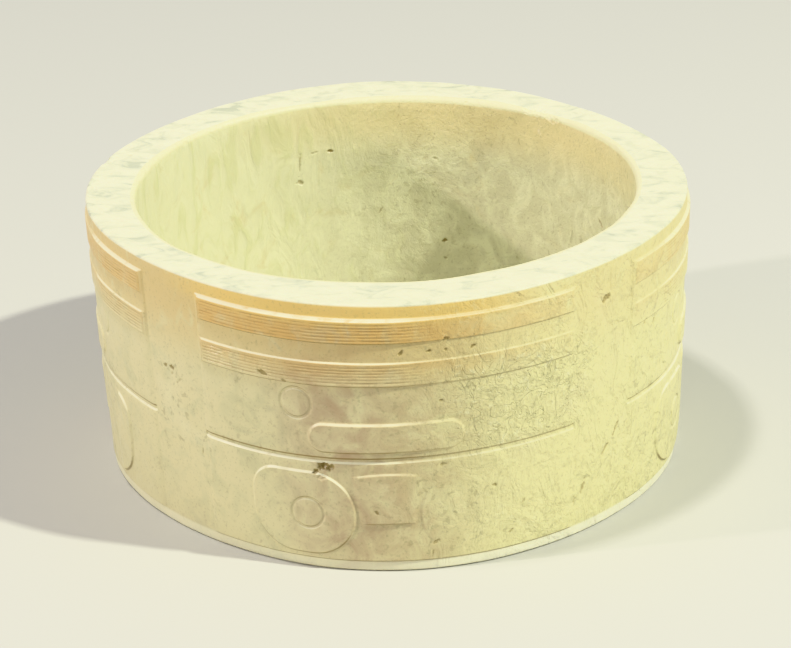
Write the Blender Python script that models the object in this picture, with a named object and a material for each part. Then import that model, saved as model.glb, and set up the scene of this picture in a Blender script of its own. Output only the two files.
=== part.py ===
"""A jade cong of bracelet form: a wide ring of pale nephrite with four shallow carved panels.

The ring stands on its foot with its axis along Z, its origin in the middle of the underside and
one panel facing -Y. Each panel is drawn flat, x along the lip's circumference from the panel's
centre and z up from the underside, and is then wrapped round the ring. Every size below is in
millimetres; MM turns it to metres where the mesh is made.
"""

from math import cos, pi, radians, sin

import bmesh
import bpy
from mathutils import Vector
from mathutils.geometry import delaunay_2d_cdt

MM = 0.001

# The ring
HEIGHT = 45.2
LIP_RADIUS = 48.0
FOOT_NARROWING = 2.0
WALL = 8.1
BORE_RADIUS = LIP_RADIUS - WALL
BORE_SHIFT = 0.55
OUTER_ROUNDING = 0.5
INNER_ROUNDING = 0.9

# The plan is nearly round, with a soft corner behind each panel, and slightly oval
CORNER_SWELL = 0.65
OVAL_SWELL = 0.8
OVAL_DIRECTION = radians(-63)

# The four panels, and the flush surface left round them: the gaps, the collar and the foot
PANEL_COUNT = 4
GAP_WIDTH = 12.4
COLLAR_HEIGHT = 2.2
FOOT_HEIGHT = 1.7
PANEL_RELIEF = 0.25
PANEL_SLOPE = 0.25

# Two raised bands under the collar, with a plain strip between them
UPPER_BAND_HEIGHT = 4.0
BAND_SPACING = 2.9
LOWER_BAND_HEIGHT = 4.2
BAND_RELIEF = 0.3
BAND_SLOPE = 0.3

# The groove that parts the upper face from the lower one
GROOVE_HEIGHT = 19.2
GROOVE_WIDTH = 1.0
GROOVE_DEPTH = 0.3

# Upper face: two ring eyes and a raised bar with round ends for the nose
RING_WIDTH = 0.6
RING_DEPTH = 0.2
UPPER_EYE_SPACING = 27.4
UPPER_EYE_RADIUS = 2.5
UPPER_EYE_TO_BAND = 0.7
BAR_LENGTH = 24.2
BAR_HEIGHT = 5.3
BAR_TO_GROOVE = 0.7
BAR_RELIEF = 0.4
BAR_SLOPE = 0.5

# Lower face: two big oval eyes, the bridge of the nose between them, and a ring in each eye
OVAL_WIDTH = 17.5
OVAL_HEIGHT = 14.7
OVAL_SPACING = 27.1
OVAL_TO_GROOVE = 1.5
OVAL_OUTER_TOP_RADIUS = 4.6
OVAL_CORNER_RADIUS = 7.3
OVAL_RELIEF = 0.3
OVAL_SLOPE = 0.45
LOWER_EYE_SPACING = 25.2
LOWER_EYE_RADIUS = 2.6
BRIDGE_TOP_WIDTH = 11.4
BRIDGE_LOW_WIDTH = 8.8
BRIDGE_HEIGHT = 9.0
BRIDGE_ARCH = 0.7
BRIDGE_RELIEF = 0.3
BRIDGE_SLOPE = 0.4

# How finely curves are divided
SIDES_PER_PANEL = 16
CORNER_STEPS = 5
EYE_SIDES = 16
ROUNDING_STEPS = 2
MERGE_DISTANCE = 0.02


def ring_radius(azimuth, z):
    """Radius of the bare ring, measured from its axis, at an azimuth and a height."""
    narrowing = FOOT_NARROWING * (1 - z / HEIGHT)
    corners = CORNER_SWELL * cos(PANEL_COUNT * (azimuth + pi / 2))
    oval = OVAL_SWELL * cos(2 * (azimuth - OVAL_DIRECTION))
    return LIP_RADIUS - narrowing + corners + oval


def outer_point(azimuth, z, level):
    """Point of the outer surface, level millimetres proud of the bare ring."""
    radius = ring_radius(azimuth, z) + level
    return Vector((radius * cos(azimuth), radius * sin(azimuth), z)) * MM


def bore_point(azimuth, z, clearance):
    """Point beside the bore's wall, clearance millimetres outside it."""
    radius = BORE_RADIUS + clearance
    return Vector((radius * cos(azimuth), radius * sin(azimuth) + BORE_SHIFT, z)) * MM


def corner_arc(centre_x, centre_z, radius, start):
    """Quarter of a circle, anticlockwise from a start angle, or its centre when it has no radius."""
    if radius <= MERGE_DISTANCE:
        return [Vector((centre_x, centre_z))]
    angles = [start + pi / 2 * step / CORNER_STEPS for step in range(CORNER_STEPS + 1)]
    return [Vector((centre_x + radius * cos(a), centre_z + radius * sin(a))) for a in angles]


def rounded_box(left, right, low, high, radii):
    """Outline of a box whose corner radii run anticlockwise from the upper right."""
    limit = min(right - left, high - low) / 2
    upper_right, upper_left, lower_left, lower_right = (min(radius, limit) for radius in radii)
    return (
        corner_arc(right - upper_right, high - upper_right, upper_right, 0)
        + corner_arc(left + upper_left, high - upper_left, upper_left, pi / 2)
        + corner_arc(left + lower_left, low + lower_left, lower_left, pi)
        + corner_arc(right - lower_right, low + lower_right, lower_right, 3 * pi / 2)
    )


def square_box(left, right, low, high):
    """Outline of a box with square corners."""
    return rounded_box(left, right, low, high, [0] * 4)


def circle(centre_x, centre_z, radius):
    """Outline of an eye's ring."""
    angles = [2 * pi * side / EYE_SIDES for side in range(EYE_SIDES)]
    return [Vector((centre_x + radius * cos(a), centre_z + radius * sin(a))) for a in angles]


def inset(outline, distance):
    """The same outline, which runs anticlockwise, with every side moved inwards."""
    moved = []
    for before, point, after in zip(outline[-1:] + outline[:-1], outline, outline[1:] + outline[:1]):
        normals = []
        for side in (point - before, after - point):
            along = side.normalized()
            normals.append(Vector((-along.y, along.x)))
        first, second = normals
        moved.append(point + distance * (first + second) / (1 + first.dot(second)))
    return moved


def raised(outline, ground, relief, slope):
    """The two outlines of a raised form: its foot on the ground, and its top edge further in."""
    return [(outline, ground), (inset(outline, slope), ground + relief)]


def ring_groove(centre_x, centre_z, radius, ground):
    """The three outlines of a ring cut into the ground."""
    return [
        (circle(centre_x, centre_z, radius + RING_WIDTH / 2), ground),
        (circle(centre_x, centre_z, radius), ground - RING_DEPTH),
        (circle(centre_x, centre_z, radius - RING_WIDTH / 2), ground),
    ]


def upper_face(bands_low):
    """Outlines of the ring eyes and the nose bar, under the bands and above the groove."""
    eye_z = bands_low - UPPER_EYE_TO_BAND - UPPER_EYE_RADIUS
    outlines = []
    for side in (-1, 1):
        outlines += ring_groove(side * UPPER_EYE_SPACING / 2, eye_z, UPPER_EYE_RADIUS, PANEL_RELIEF)
    low = GROOVE_HEIGHT + GROOVE_WIDTH / 2 + BAR_TO_GROOVE
    half_length = BAR_LENGTH / 2
    bar = rounded_box(-half_length, half_length, low, low + BAR_HEIGHT, [BAR_HEIGHT / 2] * 4)
    return outlines + raised(bar, PANEL_RELIEF, BAR_RELIEF, BAR_SLOPE)


def oval_eye(side, top):
    """Outlines of an oval eye, tighter at its outer upper corner, and of the ring in it."""
    radii = [OVAL_CORNER_RADIUS] * 4
    outer_corner = 0 if side > 0 else 1
    radii[outer_corner] = OVAL_OUTER_TOP_RADIUS
    middle = side * OVAL_SPACING / 2
    half_width = OVAL_WIDTH / 2
    oval = rounded_box(middle - half_width, middle + half_width, top - OVAL_HEIGHT, top, radii)
    ring_z = top - OVAL_HEIGHT / 2
    return raised(oval, PANEL_RELIEF, OVAL_RELIEF, OVAL_SLOPE) + ring_groove(
        side * LOWER_EYE_SPACING / 2, ring_z, LOWER_EYE_RADIUS, PANEL_RELIEF + OVAL_RELIEF
    )


def bridge(top):
    """Outlines of the bridge of the nose: narrower below, with a slightly arched upper edge."""
    half_top, half_low, low = BRIDGE_TOP_WIDTH / 2, BRIDGE_LOW_WIDTH / 2, top - BRIDGE_HEIGHT
    shares = [1 - 2 * step / CORNER_STEPS for step in range(CORNER_STEPS + 1)]
    outline = [Vector((half_top * share, top - BRIDGE_ARCH * share ** 2)) for share in shares]
    outline += [Vector((-half_low, low)), Vector((half_low, low))]
    return raised(outline, PANEL_RELIEF, BRIDGE_RELIEF, BRIDGE_SLOPE)


def panel_outlines():
    """Every outline of one panel, each with its level above the bare ring."""
    half_width = pi * LIP_RADIUS / PANEL_COUNT - GAP_WIDTH / 2
    high = HEIGHT - COLLAR_HEIGHT
    panel = square_box(-half_width, half_width, FOOT_HEIGHT, high)
    outlines = raised(panel, 0, PANEL_RELIEF, PANEL_SLOPE)
    inner = half_width - PANEL_SLOPE
    upper_high = high - PANEL_SLOPE
    upper_low = upper_high - UPPER_BAND_HEIGHT
    lower_high = upper_low - BAND_SPACING
    lower_low = lower_high - LOWER_BAND_HEIGHT
    for low, top in ((upper_low, upper_high), (lower_low, lower_high)):
        band = square_box(-inner, inner, low, top)
        outlines += raised(band, PANEL_RELIEF, BAND_RELIEF, BAND_SLOPE)
    groove_low = GROOVE_HEIGHT - GROOVE_WIDTH / 2
    groove = square_box(-inner, inner, groove_low, groove_low + GROOVE_WIDTH)
    outlines += raised(groove, PANEL_RELIEF, -GROOVE_DEPTH, GROOVE_WIDTH / 3)
    eyes_top = groove_low - OVAL_TO_GROOVE
    outlines += oval_eye(-1, eyes_top) + oval_eye(1, eyes_top) + bridge(eyes_top)
    return outlines + upper_face(lower_low)


def cut_at_meridians(outline, meridians):
    """The same closed outline, with a point wherever it crosses a meridian."""
    points = []
    for start, end in zip(outline, outline[1:] + outline[:1]):
        points.append((start.x, start.y))
        low, high = sorted((start.x, end.x))
        crossings = [x for x in meridians if low < x < high]
        if end.x < start.x:
            crossings.reverse()
        for x in crossings:
            share = (x - start.x) / (end.x - start.x)
            points.append((x, start.y + share * (end.y - start.y)))
    return points


def flat_panel():
    """Triangles of one panel drawn flat: its points, their levels and the triangles' corners."""
    half = pi * LIP_RADIUS / PANEL_COUNT
    meridians = [half * (2 * side / SIDES_PER_PANEL - 1) for side in range(SIDES_PER_PANEL + 1)]
    low, high = OUTER_ROUNDING, HEIGHT - OUTER_ROUNDING
    points, levels, edges = [], [], []
    crossings = {x: [] for x in meridians}
    for outline, level in panel_outlines():
        first = len(points)
        loop = cut_at_meridians(outline, meridians)
        for offset, point in enumerate(loop):
            if point[0] in crossings:
                crossings[point[0]].append(first + offset)
            points.append(point)
            levels.append(level)
            edges.append((first + offset, first + (offset + 1) % len(loop)))
    for x, crossed in crossings.items():
        ends = (len(points), len(points) + 1)
        points += [(x, low), (x, high)]
        levels += [0, 0]
        chain = sorted([*crossed, *ends], key=lambda index: points[index][1])
        edges += list(zip(chain, chain[1:]))
    flat = [Vector(point) for point in points]
    found, _, faces, sources, _, _ = delaunay_2d_cdt(flat, edges, [], 0, MERGE_DISTANCE)
    return found, known_levels(levels, sources, faces), faces


def known_levels(levels, sources, faces):
    """Level of each triangulated point: its outline's own, or its neighbours' mean where two cross."""
    result = [max((levels[i] for i in source), default=None) for source in sources]
    for index, level in enumerate(result):
        if level is None:
            corners = [i for face in faces if index in face for i in face]
            near = [result[i] for i in corners if result[i] is not None]
            result[index] = sum(near) / len(near) if near else 0
    return result


def add_panels(bm):
    """Wrap the flat panel round the ring, once for each panel."""
    points, levels, faces = flat_panel()
    for panel in range(PANEL_COUNT):
        centre = 2 * pi * panel / PANEL_COUNT - pi / 2
        corners = []
        for point, level in zip(points, levels):
            azimuth = centre + point.x / LIP_RADIUS
            corners.append(bm.verts.new(outer_point(azimuth, point.y, level)))
        for face in faces:
            bm.faces.new([corners[index] for index in face])


def profile(azimuth):
    """Points from the outer surface's top over the lip, down the bore and under to the foot."""
    angles = [pi / 2 * step / ROUNDING_STEPS for step in range(ROUNDING_STEPS + 1)]
    outer, inner = OUTER_ROUNDING, INNER_ROUNDING
    top = HEIGHT - outer
    points = [outer_point(azimuth, top, 0)]
    points += [outer_point(azimuth, top + outer * sin(a), outer * (cos(a) - 1)) for a in angles[1:]]
    points += [bore_point(azimuth, HEIGHT - inner * (1 - cos(a)), inner * (1 - sin(a))) for a in angles]
    points += [bore_point(azimuth, inner * (1 - sin(a)), inner * (1 - cos(a))) for a in angles]
    points += [outer_point(azimuth, outer * (1 - cos(a)), outer * (sin(a) - 1)) for a in angles[:-1]]
    points.append(outer_point(azimuth, outer, 0))
    return points


def add_lip_bore_and_foot(bm):
    """Close the ring from the panels' upper edge round to their lower edge."""
    sides = PANEL_COUNT * SIDES_PER_PANEL
    start = -pi / 2 - pi / PANEL_COUNT
    rows = []
    for side in range(sides):
        azimuth = start + 2 * pi * side / sides
        rows.append([bm.verts.new(point) for point in profile(azimuth)])
    for row, following in zip(rows, rows[1:] + rows[:1]):
        for lower in range(len(row) - 1):
            upper = lower + 1
            bm.faces.new((row[lower], following[lower], following[upper], row[upper]))


def nephrite():
    """Pale yellow-green altered nephrite, softly polished."""
    material = bpy.data.materials.new("pale_nephrite")
    material.use_nodes = True
    shader = material.node_tree.nodes["Principled BSDF"]
    shader.inputs["Base Color"].default_value = (0.62, 0.57, 0.33, 1)
    shader.inputs["Roughness"].default_value = 0.45
    shader.inputs["Metallic"].default_value = 0
    return material


def make_cong():
    """The whole cong, worked from one block of stone."""
    bm = bmesh.new()
    add_panels(bm)
    add_lip_bore_and_foot(bm)
    bmesh.ops.remove_doubles(bm, verts=bm.verts, dist=MERGE_DISTANCE * MM)
    bmesh.ops.dissolve_degenerate(bm, edges=bm.edges, dist=MERGE_DISTANCE * MM)
    bmesh.ops.triangulate(bm, faces=bm.faces)
    bmesh.ops.recalc_face_normals(bm, faces=bm.faces)
    mesh = bpy.data.meshes.new("cong")
    bm.to_mesh(mesh)
    bm.free()
    mesh.materials.append(nephrite())
    mesh.shade_smooth()
    mesh.set_sharp_from_angle(angle=radians(15))
    cong = bpy.data.objects.new("cong", mesh)
    bpy.context.scene.collection.objects.link(cong)
    return cong


for leftover in list(bpy.data.objects):
    bpy.data.objects.remove(leftover)
make_cong()
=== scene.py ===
"""A jade cong of bracelet form on a pale studio floor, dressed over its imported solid."""

from math import ceil, cos, pi, radians, sin

import bmesh
import bpy
import numpy as np
from mathutils import Matrix, Vector, noise
from mathutils.geometry import delaunay_2d_cdt


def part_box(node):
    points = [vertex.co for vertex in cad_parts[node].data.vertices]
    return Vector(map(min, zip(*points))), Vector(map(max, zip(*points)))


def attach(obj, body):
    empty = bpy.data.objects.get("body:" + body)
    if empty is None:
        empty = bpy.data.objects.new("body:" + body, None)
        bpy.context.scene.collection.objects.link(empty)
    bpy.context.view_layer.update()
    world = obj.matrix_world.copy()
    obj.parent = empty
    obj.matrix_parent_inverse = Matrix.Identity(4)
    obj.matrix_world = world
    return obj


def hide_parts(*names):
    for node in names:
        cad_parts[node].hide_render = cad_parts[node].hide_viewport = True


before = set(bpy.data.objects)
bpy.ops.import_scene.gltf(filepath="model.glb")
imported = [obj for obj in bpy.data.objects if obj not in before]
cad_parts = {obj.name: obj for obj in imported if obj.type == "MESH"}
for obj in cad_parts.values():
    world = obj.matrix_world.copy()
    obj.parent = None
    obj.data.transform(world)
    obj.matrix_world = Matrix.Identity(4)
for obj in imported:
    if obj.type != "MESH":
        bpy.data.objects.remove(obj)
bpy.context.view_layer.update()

# The cong
# One block of pale nephrite, sawn and drilled out to a ring with wet sand, then ground so that
# four shallow panels stand proud of it by a quarter of a millimetre, and polished.

# Sizes are in millimetres. A panel is drawn flat, x along the lip from its centre and z up from
# the foot, and is wrapped round the ring at the end.
MM = 0.001
PANEL_COUNT = 4
CORNER_SWELL = 0.65
OVAL_SWELL = 0.8
OVAL_DIRECTION = radians(-63)
FOOT_NARROWING = 2.0
WALL = 8.1
BORE_SHIFT = 0.55
LIP_ROUNDING = 0.45
BORE_ROUNDING = 0.9

GAP_WIDTH = 12.4
COLLAR_HEIGHT = 2.2
FOOT_HEIGHT = 1.7
PANEL_RELIEF = 0.25
PANEL_SLOPE = 0.25
UPPER_BAND_HEIGHT = 4.0
BAND_SPACING = 2.9
LOWER_BAND_HEIGHT = 4.2
BAND_RELIEF = 0.3
BAND_SLOPE = 0.3
BAND_END_WEAR = 0.3

# The solid gives the height, and the radius of the lip once its upper band is taken off
box_low, box_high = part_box("cong")
HEIGHT = (box_high.z - box_low.z) / MM
MEAN_REACH = (box_high.x - box_low.x + box_high.y - box_low.y) / 4 / MM
BAND_NARROWING = FOOT_NARROWING * (COLLAR_HEIGHT + PANEL_SLOPE + BAND_SLOPE) / HEIGHT
LIP_RADIUS = MEAN_REACH - CORNER_SWELL - PANEL_RELIEF - BAND_RELIEF + BAND_NARROWING
BORE_RADIUS = LIP_RADIUS - WALL
PITCH = 2 * pi * LIP_RADIUS / PANEL_COUNT

# The face that each panel bears
GROOVE_HEIGHT = 19.2
GROOVE_WIDTH = 1.0
GROOVE_DEPTH = 0.3
RING_WIDTH = 0.6
RING_DEPTH = 0.16
UPPER_EYE_SPACING = 27.4
UPPER_EYE_RADIUS = 2.5
UPPER_EYE_TO_BAND = 0.7
BAR_LENGTH = 24.2
BAR_HEIGHT = 5.3
BAR_TO_GROOVE = 0.7
BAR_RELIEF = 0.4
BAR_SLOPE = 0.5
OVAL_WIDTH = 17.5
OVAL_HEIGHT = 14.7
OVAL_SPACING = 27.1
OVAL_TO_GROOVE = 1.5
OVAL_OUTER_TOP_RADIUS = 4.6
OVAL_CORNER_RADIUS = 7.3
OVAL_RELIEF = 0.3
OVAL_SLOPE = 0.45
LOWER_EYE_SPACING = 25.2
LOWER_EYE_RADIUS = 2.6
BRIDGE_TOP_WIDTH = 11.4
BRIDGE_LOW_WIDTH = 8.8
BRIDGE_HEIGHT = 9.0
BRIDGE_ARCH = 0.7
BRIDGE_RELIEF = 0.3
BRIDGE_SLOPE = 0.4
BRIDGE_SIDE_WEAR = 0.3
PANEL_SIDE_WEAR = 0.6
SQUARE_CORNER = 0.35
ARC_STEPS = 10


def arc(centre_x, centre_z, radius, start):
    """Quarter circle, anticlockwise from a start angle."""
    angles = start + np.linspace(0, pi / 2, ARC_STEPS + 1)
    return [(centre_x + radius * cos(a), centre_z + radius * sin(a)) for a in angles]


class RoundedBox:
    """A box with its own radius at each corner, upper right first and anticlockwise."""

    def __init__(self, left, right, low, high, radii, end_wear=1.0):
        self.left, self.right, self.low, self.high = left, right, low, high
        self.radii, self.end_wear = radii, end_wear

    def outline(self, inset):
        left, right = self.left + inset, self.right - inset
        low, high = self.low + inset, self.high - inset
        upper_right, upper_left, lower_left, lower_right = (max(r - inset, 0.01) for r in self.radii)
        return (
            arc(right - upper_right, high - upper_right, upper_right, 0)
            + arc(left + upper_left, high - upper_left, upper_left, pi / 2)
            + arc(left + lower_left, low + lower_left, lower_left, pi)
            + arc(right - lower_right, low + lower_right, lower_right, 3 * pi / 2)
        )

    def depth_inside(self, x, z):
        across = x - (self.left + self.right) / 2
        up = z - (self.low + self.high) / 2
        upper_right, upper_left, lower_left, lower_right = self.radii
        upper = np.where(across > 0, upper_right, upper_left)
        lower = np.where(across > 0, lower_right, lower_left)
        radius = np.where(up > 0, upper, lower)
        past_x = np.abs(across) - (self.right - self.left) / 2 + radius
        past_z = np.abs(up) - (self.high - self.low) / 2 + radius
        outside = np.hypot(np.maximum(past_x, 0), np.maximum(past_z, 0))
        return radius - outside - np.minimum(np.maximum(past_x, past_z), 0)

    def worn_depth(self, x, z):
        from_end = (self.right - self.left) / 2 - np.abs(x - (self.left + self.right) / 2)
        return np.minimum(self.depth_inside(x, z), from_end * self.end_wear)


class Circle:
    """The middle line of a ring eye."""

    def __init__(self, x, z, radius):
        self.x, self.z, self.radius = x, z, radius

    def outline(self, inset):
        angles = np.linspace(0, 2 * pi, 4 * ARC_STEPS, endpoint=False)
        reach = self.radius - inset
        return [(self.x + reach * cos(a), self.z + reach * sin(a)) for a in angles]

    def depth_inside(self, x, z):
        return self.radius - np.hypot(x - self.x, z - self.z)


class Bridge:
    """The plate between the oval eyes, narrower below and slightly arched above."""

    def __init__(self, top):
        self.top, self.low = top, top - BRIDGE_HEIGHT

    def half_width(self, z):
        share = (z - self.low) / BRIDGE_HEIGHT
        return (BRIDGE_LOW_WIDTH + (BRIDGE_TOP_WIDTH - BRIDGE_LOW_WIDTH) * share) / 2

    def outline(self, inset):
        half_top = self.half_width(self.top - inset) - inset
        half_low = self.half_width(self.low + inset) - inset
        shares = np.linspace(1, -1, ARC_STEPS + 1)
        edge = [(half_top * s, self.top - inset - BRIDGE_ARCH * s ** 2) for s in shares]
        return edge + [(-half_low, self.low + inset), (half_low, self.low + inset)]

    def depth_inside(self, x, z):
        below_top = self.top - BRIDGE_ARCH * (2 * x / BRIDGE_TOP_WIDTH) ** 2 - z
        return np.minimum(np.minimum(below_top, z - self.low), self.half_width(z) - np.abs(x))

    def worn_depth(self, x, z):
        from_side = self.half_width(z) - np.abs(x)
        return np.minimum(self.depth_inside(x, z), from_side * BRIDGE_SIDE_WEAR)


half_panel = (PITCH - GAP_WIDTH) / 2
inner_half = half_panel - PANEL_SLOPE
panel_high = HEIGHT - COLLAR_HEIGHT
upper_band_high = panel_high - PANEL_SLOPE
upper_band_low = upper_band_high - UPPER_BAND_HEIGHT
lower_band_high = upper_band_low - BAND_SPACING
lower_band_low = lower_band_high - LOWER_BAND_HEIGHT
bar_low = GROOVE_HEIGHT + GROOVE_WIDTH / 2 + BAR_TO_GROOVE
eyes_top = GROOVE_HEIGHT - GROOVE_WIDTH / 2 - OVAL_TO_GROOVE
upper_eye_z = lower_band_low - UPPER_EYE_TO_BAND - UPPER_EYE_RADIUS
lower_eye_z = eyes_top - OVAL_HEIGHT / 2
square = [SQUARE_CORNER] * 4
round_ends = [BAR_HEIGHT / 2] * 4

panel = RoundedBox(-half_panel, half_panel, FOOT_HEIGHT, panel_high, square)
upper_band = RoundedBox(-inner_half, inner_half, upper_band_low, upper_band_high, square, BAND_END_WEAR)
lower_band = RoundedBox(-inner_half, inner_half, lower_band_low, lower_band_high, square, BAND_END_WEAR)
bar = RoundedBox(-BAR_LENGTH / 2, BAR_LENGTH / 2, bar_low, bar_low + BAR_HEIGHT, round_ends)
strong_forms = [
    (upper_band, BAND_RELIEF, BAND_SLOPE),
    (lower_band, BAND_RELIEF, BAND_SLOPE),
    (bar, BAR_RELIEF, BAR_SLOPE),
    (Bridge(eyes_top), BRIDGE_RELIEF, BRIDGE_SLOPE),
]
faint_forms = []
rings = []
for side in (-1, 1):
    radii = [OVAL_CORNER_RADIUS] * 4
    radii[0 if side > 0 else 1] = OVAL_OUTER_TOP_RADIUS
    left = side * OVAL_SPACING / 2 - OVAL_WIDTH / 2
    oval = RoundedBox(left, left + OVAL_WIDTH, eyes_top - OVAL_HEIGHT, eyes_top, radii)
    faint_forms.append((oval, OVAL_RELIEF, OVAL_SLOPE))
    rings.append(Circle(side * UPPER_EYE_SPACING / 2, upper_eye_z, UPPER_EYE_RADIUS))
    rings.append(Circle(side * LOWER_EYE_SPACING / 2, lower_eye_z, LOWER_EYE_RADIUS))
forms = [(panel, PANEL_RELIEF, PANEL_SLOPE), *strong_forms, *faint_forms]


def soft_step(share):
    """Zero below 0, one above 1, and a soft S between."""
    share = np.clip(share, 0, 1)
    return share * share * (3 - 2 * share)


def panel_level(x, z):
    """How far the panel stands proud, its two sides worn to a soft slope below the bands."""
    side_slope = 2 * PANEL_SLOPE + PANEL_SIDE_WEAR * soft_step((lower_band_low + 1 - z) / 5)
    from_side = (half_panel - np.abs(x)) * PANEL_SLOPE / side_slope
    return PANEL_RELIEF * soft_step(np.minimum(panel.depth_inside(x, z), from_side) / PANEL_SLOPE)


def raised_level(x, z, some_forms):
    """How far raised forms stand proud of the panel."""
    level = np.zeros_like(x)
    for form, relief, slope in some_forms:
        level += relief * soft_step(form.worn_depth(x, z) / slope)
    return level


def groove_depth(x, z):
    """Depth of the groove that parts the upper face from the lower one."""
    across = (z - GROOVE_HEIGHT) / (GROOVE_WIDTH / 2)
    on_panel = soft_step((half_panel - np.abs(x)) / PANEL_SLOPE)
    return GROOVE_DEPTH * on_panel * np.clip(1 - across ** 2, 0, None)


def ring_depth(x, z):
    """Depth of the four ring eyes."""
    depth = np.zeros_like(x)
    for ring in rings:
        across = ring.depth_inside(x, z) / (RING_WIDTH / 2)
        depth += RING_DEPTH * np.clip(1 - across ** 2, 0, None)
    return depth


# The skin of the ring in section: each station has its distance along the skin, height, clearance
# from the bare wall and share of the way inwards, from the foot up over the lip and down the bore.
ROUNDING_STEPS = 4
turns = np.linspace(0, pi / 2, ROUNDING_STEPS + 1)
stations = [(LIP_ROUNDING * (1 - cos(a)), LIP_ROUNDING * (sin(a) - 1), 0) for a in turns]
stations += [(HEIGHT - LIP_ROUNDING * (1 - sin(a)), LIP_ROUNDING * (cos(a) - 1), 0) for a in turns]
stations += [(HEIGHT - BORE_ROUNDING * (1 - cos(a)), BORE_ROUNDING * (1 - sin(a)), 1) for a in turns]
stations += [(BORE_ROUNDING * (1 - sin(a)), BORE_ROUNDING * (1 - cos(a)), 1) for a in turns]
stations.append(stations[0])
section = []
along = 0
previous = stations[0]
for station in stations:
    across = WALL if station[2] != previous[2] else station[1] - previous[1]
    along += float(np.hypot(station[0] - previous[0], across))
    section.append((along, *station))
    previous = station
section = np.array(section)
# Up the outside, the distance along the skin is the height and this much more
skin_start = section[ROUNDING_STEPS, 0] - section[ROUNDING_STEPS, 1]


# The flat skin of one panel, closely divided where it is carved
GRID = 0.85
BORE_GRID = 1.7
LOOP_STEP = 0.6
CLEARANCE = 0.35
flat_points, scored, flat_edges = [], [], []


def draw_line(points, depths=None, closed=False):
    """A line of points on the outside, which the triangles of the skin have to follow."""
    first, last = len(flat_points), len(flat_points) + len(points) - 1
    flat_points.extend((float(x), float(z + skin_start)) for x, z in points)
    scored.extend([0.0] * len(points) if depths is None else depths)
    flat_edges.extend((i, i + 1) for i in range(first, last))
    if closed:
        flat_edges.append((last, first))


def divided(outline, step):
    """A closed outline with more points, so that no side is longer than the step."""
    points = []
    for start, end in zip(outline, outline[1:] + outline[:1]):
        length = np.hypot(end[0] - start[0], end[1] - start[1])
        parts = ceil(length / step) if length > 0.02 else 0
        for part in range(parts):
            share = part / parts
            points.append((start[0] + (end[0] - start[0]) * share, start[1] + (end[1] - start[1]) * share))
    return points


for form, _, slope in forms:
    for distance in (-0.12, 0, slope * 0.3, slope * 0.7, slope, slope + 0.14):
        draw_line(divided(form.outline(distance), LOOP_STEP), closed=True)
for ring in rings:
    for share in (-1.3, -0.9, -0.45, 0, 0.45, 0.9, 1.3):
        draw_line(ring.outline(share * RING_WIDTH / 2), closed=True)
groove_places = np.linspace(-inner_half, inner_half, ceil(2 * inner_half / LOOP_STEP))
for share in (-1.2, -0.9, -0.5, 0, 0.5, 0.9, 1.2):
    draw_line([(x, GROOVE_HEIGHT + share * GROOVE_WIDTH / 2) for x in groove_places])

# The fine lines along the bands, each scored with a hard point in short strokes that wander
LINE_PITCH = 0.52
LINE_WIDTH = 0.28
LINE_DEPTH = 0.14
LINE_END = 0.9
END_LINE = 0.5
LINE_STEP = 0.8
STROKE_LENGTH = 9.0
STROKE_WANDER = 0.06
STROKE_FADE = 1.2

draw = np.random.default_rng(7)
line_half = inner_half - BAND_SLOPE - LINE_END
line_places = np.linspace(-line_half, line_half, ceil(2 * line_half / LINE_STEP))
for band in (upper_band, lower_band):
    low, high = band.low + BAND_SLOPE, band.high - BAND_SLOPE
    line_count = int((high - low) / LINE_PITCH)
    spare = (high - low - line_count * LINE_PITCH) / 2
    for line in range(line_count):
        ends = np.cumsum(draw.uniform(0.4, 1.6, 20) * STROKE_LENGTH) - line_half - STROKE_LENGTH
        wander = draw.uniform(-STROKE_WANDER, STROKE_WANDER, 20)
        weight = draw.uniform(0.5, 1.0, 21)[np.searchsorted(ends, line_places)]
        from_end = np.min(np.abs(line_places[:, None] - ends[None, :]), axis=1)
        depth = LINE_DEPTH * weight * (0.25 + 0.75 * soft_step(from_end / STROKE_FADE))
        height = low + spare + (line + 0.5) * LINE_PITCH + np.interp(line_places, ends, wander)
        for share, cut in ((-0.5, 0), (0, 1), (0.5, 0)):
            draw_line(list(zip(line_places, height + share * LINE_WIDTH)), depths=list(depth * cut))
    rises = np.linspace(low + 0.1, high - 0.1, 6)
    for side in (-1, 1):
        for share, cut in ((-0.5, 0), (0, 0.8), (0.5, 0)):
            end_place = side * (line_half + END_LINE + share * LINE_WIDTH)
            draw_line([(end_place, rise) for rise in rises], depths=[LINE_DEPTH * cut] * len(rises))

# A plain grid fills in between, coarser down the bore and under the foot
columns = np.linspace(-PITCH / 2, PITCH / 2, 2 * ceil(PITCH / 2 / GRID) + 1)
for start, end in zip(section[:-1], section[1:]):
    step, used = (BORE_GRID, columns[::2]) if start[3] == 1 else (GRID, columns)
    parts = ceil((end[0] - start[0]) / step) if end[0] > start[0] else 0
    for part in range(parts):
        z = np.full_like(used, start[0] + (end[0] - start[0]) * part / parts - skin_start)
        free = (np.abs(z - GROOVE_HEIGHT) > GROOVE_WIDTH / 2 + CLEARANCE) | (np.abs(used) > half_panel)
        for form, _, slope in forms:
            depth = form.depth_inside(used, z)
            free &= (depth < -CLEARANCE) | (depth > slope + CLEARANCE)
        for ring in rings:
            free &= np.abs(ring.depth_inside(used, z)) > RING_WIDTH / 2 + CLEARANCE
        for band in (upper_band, lower_band):
            free &= band.depth_inside(used, z) < 0
        free |= np.abs(used) > PITCH / 2 - 0.001
        flat_points.extend((float(x), float(y + skin_start)) for x, y in zip(used[free], z[free]))
flat_points.extend((float(x), float(section[-1, 0])) for x in columns)
scored.extend([0.0] * (len(flat_points) - len(scored)))

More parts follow.
